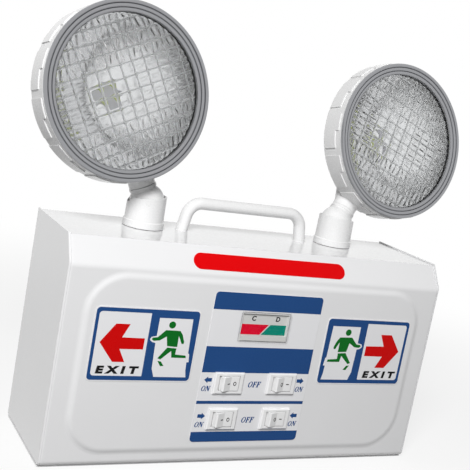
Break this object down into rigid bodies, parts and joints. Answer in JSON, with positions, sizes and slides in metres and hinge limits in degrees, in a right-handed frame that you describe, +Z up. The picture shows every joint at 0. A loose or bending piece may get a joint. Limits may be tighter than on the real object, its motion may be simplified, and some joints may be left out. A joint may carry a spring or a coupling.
{
  "type": "emergency exit light",
  "caption": "Self-contained emergency exit light: folded steel battery box with a carry handle, exit signs, meter and rocker switches, and a pair of swivel LED lamp heads on top.",
  "frame": {"origin": "centre of the flat base of the housing", "axes": "+Z up, the front panel with its signs and switches faces -Y, +X to the right as seen from the front"},
  "size_m": [0.3247, 0.0983, 0.281],
  "materials": {
    "painted_steel": "smooth glossy off-white baked enamel on folded steel sheet",
    "zinc_screws": "bright zinc-plated steel",
    "black_rubber": "soft matt moulded rubber",
    "white_plastic": "glossy injection-moulded off-white plastic",
    "silver_plastic": "bright vacuum-metallised plastic with a satin sheen",
    "clear_plastic": "clear injection-moulded polycarbonate",
    "bright_reflector": "mirror-bright vacuum-metallised plastic",
    "printed_film": "glossy printed polyester film",
    "red_film": "glossy red printed polyester film",
    "black_plastic": "fine-textured black moulded plastic",
    "switch_white": "shiny off-white moulded plastic",
    "meter_print": "printed matt white card-faced plastic",
    "brass": "plain stamped brass",
    "battery_case": "dark moulded battery case",
    "zinc_steel": "zinc-plated steel strip",
    "iron_core": "varnished laminated iron",
    "wound_coil": "yellow insulating tape over the windings",
    "circuit_board": "green solder mask on glass-fibre board",
    "nylon": "natural nylon",
    "blue_plastic": "blue moulded plastic",
    "green_plastic": "green moulded plastic",
    "aluminium": "plain drawn aluminium",
    "led_package": "yellow-phosphor LED package"
  },
  "bodies": {
    "housing": {"battery": "battery_case", "battery_strap": "zinc_steel", "board_standoffs": "nylon", "cable_grommet": "black_rubber", "carry_handle": "white_plastic", "changeover_relay": "blue_plastic", "control_board": "circuit_board", "control_label": "printed_film", "cover_screws": "zinc_screws", "exit_sign_left": "printed_film", "exit_sign_right": "printed_film", "front_cover": "painted_steel", "fuse_link": "zinc_steel", "handle_screws": "zinc_screws", "meter_case": "white_plastic", "meter_dial": "meter_print", "meter_screen": "meter_print", "meter_window": "clear_plastic", "rear_chassis": "painted_steel", "smoothing_capacitor": "aluminium", "strap_screw": "zinc_screws", "switch_frame_lower_left": "switch_white", "switch_frame_lower_right": "switch_white", "switch_frame_upper_left": "switch_white", "switch_frame_upper_right": "switch_white", "switch_tabs": "brass", "terminal_block": "green_plastic", "title_plate": "red_film", "transformer_coil": "wound_coil", "transformer_core": "iron_core"},
    "upper_left_rocker": {"rocker_upper_left": "switch_white"},
    "upper_right_rocker": {"rocker_upper_right": "switch_white"},
    "lower_left_rocker": {"rocker_lower_left": "switch_white"},
    "lower_right_rocker": {"rocker_lower_right": "switch_white"},
    "meter_movement": {"meter_needle": "black_plastic"},
    "left_turret": {"turret_left": "white_plastic", "pivot_pin_left": "white_plastic", "turret_nut_left": "zinc_screws"},
    "left_knuckle": {"knuckle_left": "white_plastic"},
    "left_lamp": {"lamp_shell_left": "white_plastic", "lamp_bezel_left": "silver_plastic", "lamp_lens_left": "clear_plastic", "lens_gasket_left": "black_rubber", "reflector_left": "bright_reflector", "led_board_left": "aluminium", "led_chips_left": "led_package"},
    "right_turret": {"turret_right": "white_plastic", "pivot_pin_right": "white_plastic", "turret_nut_right": "zinc_screws"},
    "right_knuckle": {"knuckle_right": "white_plastic"},
    "right_lamp": {"lamp_shell_right": "white_plastic", "lamp_bezel_right": "silver_plastic", "lamp_lens_right": "clear_plastic", "lens_gasket_right": "black_rubber", "reflector_right": "bright_reflector", "led_board_right": "aluminium", "led_chips_right": "led_package"}
  },
  "joints": [
    {"name": "upper_left_rocker_tip", "type": "hinge", "parent": "housing", "child": "upper_left_rocker", "pos_m": [-0.0194, -0.0377, 0.0565], "axis": [0, 0, -1], "range_deg": [0, 20]},
    {"name": "upper_right_rocker_tip", "type": "hinge", "parent": "housing", "child": "upper_right_rocker", "pos_m": [0.0198, -0.0377, 0.0565], "axis": [0, 0, -1], "range_deg": [0, 20]},
    {"name": "lower_left_rocker_tip", "type": "hinge", "parent": "housing", "child": "lower_left_rocker", "pos_m": [-0.0194, -0.0377, 0.0321], "axis": [0, 0, -1], "range_deg": [0, 20]},
    {"name": "lower_right_rocker_tip", "type": "hinge", "parent": "housing", "child": "lower_right_rocker", "pos_m": [0.0198, -0.0377, 0.0321], "axis": [0, 0, -1], "range_deg": [0, 20]},
    {"name": "meter_needle_swing", "type": "hinge", "parent": "housing", "child": "meter_movement", "pos_m": [-0.0004, -0.0413, 0.087], "axis": [0, 1, 0], "range_deg": [0, 150], "stiffness_Nm_per_rad": 0.00002},
    {"name": "left_turret_turn", "type": "hinge", "parent": "housing", "child": "left_turret", "pos_m": [-0.073, 0.0125, 0.159], "axis": [0, 0, 1], "range_deg": [-90, 90]},
    {"name": "left_lamp_lean", "type": "hinge", "parent": "left_turret", "child": "left_knuckle", "pos_m": [-0.073, 0.0125, 0.159], "axis": [-0.2756, -0.9613, 0], "range_deg": [-26.3, 23.7]},
    {"name": "left_lamp_turn", "type": "hinge", "parent": "left_knuckle", "child": "left_lamp", "pos_m": [-0.073, 0.0125, 0.159], "axis": [-0.4259, 0.1221, 0.8965], "range_deg": [-90, 90]},
    {"name": "right_turret_turn", "type": "hinge", "parent": "housing", "child": "right_turret", "pos_m": [0.073, 0.0125, 0.159], "axis": [0, 0, 1], "range_deg": [-90, 90]},
    {"name": "right_lamp_lean", "type": "hinge", "parent": "right_turret", "child": "right_knuckle", "pos_m": [0.073, 0.0125, 0.159], "axis": [-0.3875, 0.9219, 0], "range_deg": [-33.2, 16.8]},
    {"name": "right_lamp_turn", "type": "hinge", "parent": "right_knuckle", "child": "right_lamp", "pos_m": [0.073, 0.0125, 0.159], "axis": [0.5048, 0.2122, 0.8368], "range_deg": [-90, 90]}
  ]
}
